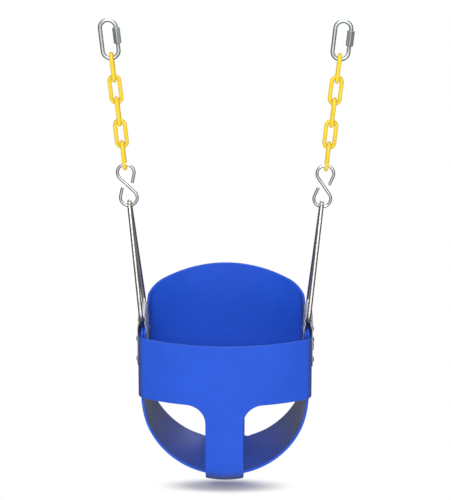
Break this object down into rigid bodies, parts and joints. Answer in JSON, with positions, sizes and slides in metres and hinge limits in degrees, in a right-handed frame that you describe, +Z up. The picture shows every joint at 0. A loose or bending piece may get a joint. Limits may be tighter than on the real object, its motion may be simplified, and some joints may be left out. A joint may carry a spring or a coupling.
{
  "type": "toddler bucket swing",
  "caption": "Moulded foam bucket seat with leg holes, clamped and riveted to two steel triangle hangers, hung by S-hooks and coated chains from screw-closed quick links",
  "frame": {"origin": "X=0 is the middle of the seat, Y=0 the middle of the side clamps and chains, Z=0 the lowest point of the crotch strap", "axes": "X to the right as seen by someone facing the belly band, Y from the belly band towards the back rest, Z up along gravity when hung"},
  "size_m": [0.483, 0.231, 0.9013],
  "materials": {
    "blue_foam": "satin royal blue moulded EVA",
    "yellow_coating": "soft dipped vinyl coating, satin",
    "core_steel": "bare chain steel inside the coating",
    "hook_steel": "bright plated wire",
    "hanger_steel": "polished rod",
    "clamp_steel": "plated sheet",
    "rivet_steel": "plated, domed",
    "zinc": "bright zinc plating, lightly mottled"
  },
  "bodies": {
    "beam_links": {"left_quick_link": "zinc", "right_quick_link": "zinc"},
    "seat": {"front_panel": "blue_foam", "seat_shell": "blue_foam", "left_bracket": "clamp_steel", "right_bracket": "clamp_steel", "left_rivets": "rivet_steel", "right_rivets": "rivet_steel", "strap_rivets": "rivet_steel", "strap_washers": "clamp_steel", "left_hanger": "hanger_steel", "right_hanger": "hanger_steel"},
    "left_hook": {"left_s_hook": "hook_steel"},
    "right_hook": {"right_s_hook": "hook_steel"},
    "left_link_nut": {"left_nut": "zinc"},
    "right_link_nut": {"right_nut": "zinc"},
    "left_chain_link_1": {"left_link_1": "yellow_coating", "left_link_1_core": "core_steel"},
    "left_chain_link_2": {"left_link_2": "yellow_coating", "left_link_2_core": "core_steel"},
    "left_chain_link_3": {"left_link_3": "yellow_coating", "left_link_3_core": "core_steel"},
    "left_chain_link_4": {"left_link_4": "yellow_coating", "left_link_4_core": "core_steel"},
    "left_chain_link_5": {"left_link_5": "yellow_coating", "left_link_5_core": "core_steel"},
    "right_chain_link_1": {"right_link_1": "yellow_coating", "right_link_1_core": "core_steel"},
    "right_chain_link_2": {"right_link_2": "yellow_coating", "right_link_2_core": "core_steel"},
    "right_chain_link_3": {"right_link_3": "yellow_coating", "right_link_3_core": "core_steel"},
    "right_chain_link_4": {"right_link_4": "yellow_coating", "right_link_4_core": "core_steel"},
    "right_chain_link_5": {"right_link_5": "yellow_coating", "right_link_5_core": "core_steel"}
  },
  "joints": [
    {"name": "left_link_5_swing", "type": "hinge", "parent": "beam_links", "child": "left_chain_link_5", "pos_m": [-0.21472, 0, 0.82369], "axis": [1, 0, 0], "range_deg": [-45, 45]},
    {"name": "left_link_4_swing", "type": "hinge", "parent": "left_chain_link_5", "child": "left_chain_link_4", "pos_m": [-0.21095, 0, 0.78899], "axis": [1, 0, 0], "range_deg": [-10, 10]},
    {"name": "left_link_3_swing", "type": "hinge", "parent": "left_chain_link_4", "child": "left_chain_link_3", "pos_m": [-0.20535, 0, 0.73749], "axis": [1, 0, 0], "range_deg": [-12, 12]},
    {"name": "left_link_2_swing", "type": "hinge", "parent": "left_chain_link_3", "child": "left_chain_link_2", "pos_m": [-0.2016, 0, 0.7029], "axis": [1, 0, 0], "range_deg": [-10, 10]},
    {"name": "left_link_1_swing", "type": "hinge", "parent": "left_chain_link_2", "child": "left_chain_link_1", "pos_m": [-0.196, 0, 0.6514], "axis": [1, 0, 0], "range_deg": [-12, 12]},
    {"name": "left_s_hook_swing", "type": "hinge", "parent": "left_chain_link_1", "child": "left_hook", "pos_m": [-0.19212, 0, 0.61571], "axis": [1, 0, 0], "range_deg": [-15, 15]},
    {"name": "seat_pitch", "type": "hinge", "parent": "left_hook", "child": "seat", "pos_m": [-0.18327, 0, 0.53419], "axis": [1, 0, 0], "range_deg": [-25, 25]},
    {"name": "right_link_5_swing", "type": "hinge", "parent": "beam_links", "child": "right_chain_link_5", "pos_m": [0.21472, 0, 0.82369], "axis": [1, 0, 0], "range_deg": [-45, 45]},
    {"name": "right_link_4_swing", "type": "hinge", "parent": "right_chain_link_5", "child": "right_chain_link_4", "pos_m": [0.21095, 0, 0.78899], "axis": [1, 0, 0], "range_deg": [-10, 10]},
    {"name": "right_link_3_swing", "type": "hinge", "parent": "right_chain_link_4", "child": "right_chain_link_3", "pos_m": [0.20535, 0, 0.73749], "axis": [1, 0, 0], "range_deg": [-12, 12]},
    {"name": "right_link_2_swing", "type": "hinge", "parent": "right_chain_link_3", "child": "right_chain_link_2", "pos_m": [0.2016, 0, 0.7029], "axis": [1, 0, 0], "range_deg": [-10, 10]},
    {"name": "right_link_1_swing", "type": "hinge", "parent": "right_chain_link_2", "child": "right_chain_link_1", "pos_m": [0.196, 0, 0.6514], "axis": [1, 0, 0], "range_deg": [-12, 12]},
    {"name": "right_s_hook_swing", "type": "hinge", "parent": "right_chain_link_1", "child": "right_hook", "pos_m": [0.19212, 0, 0.61571], "axis": [1, 0, 0], "range_deg": [-15, 15]},
    {"name": "left_nut_travel", "type": "slide", "parent": "beam_links", "child": "left_link_nut", "axis": [-0.108, 0, 0.9942], "range_m": [-0.013, 0]},
    {"name": "right_nut_travel", "type": "slide", "parent": "beam_links", "child": "right_link_nut", "axis": [0.108, 0, 0.9942], "range_m": [-0.013, 0]}
  ],
  "couplings": [
    {"joint": "right_link_5_swing", "follows": "left_link_5_swing", "ratio": 1},
    {"joint": "right_link_4_swing", "follows": "left_link_4_swing", "ratio": 1},
    {"joint": "right_link_3_swing", "follows": "left_link_3_swing", "ratio": 1},
    {"joint": "right_link_2_swing", "follows": "left_link_2_swing", "ratio": 1},
    {"joint": "right_link_1_swing", "follows": "left_link_1_swing", "ratio": 1},
    {"joint": "right_s_hook_swing", "follows": "left_s_hook_swing", "ratio": 1}
  ]
}
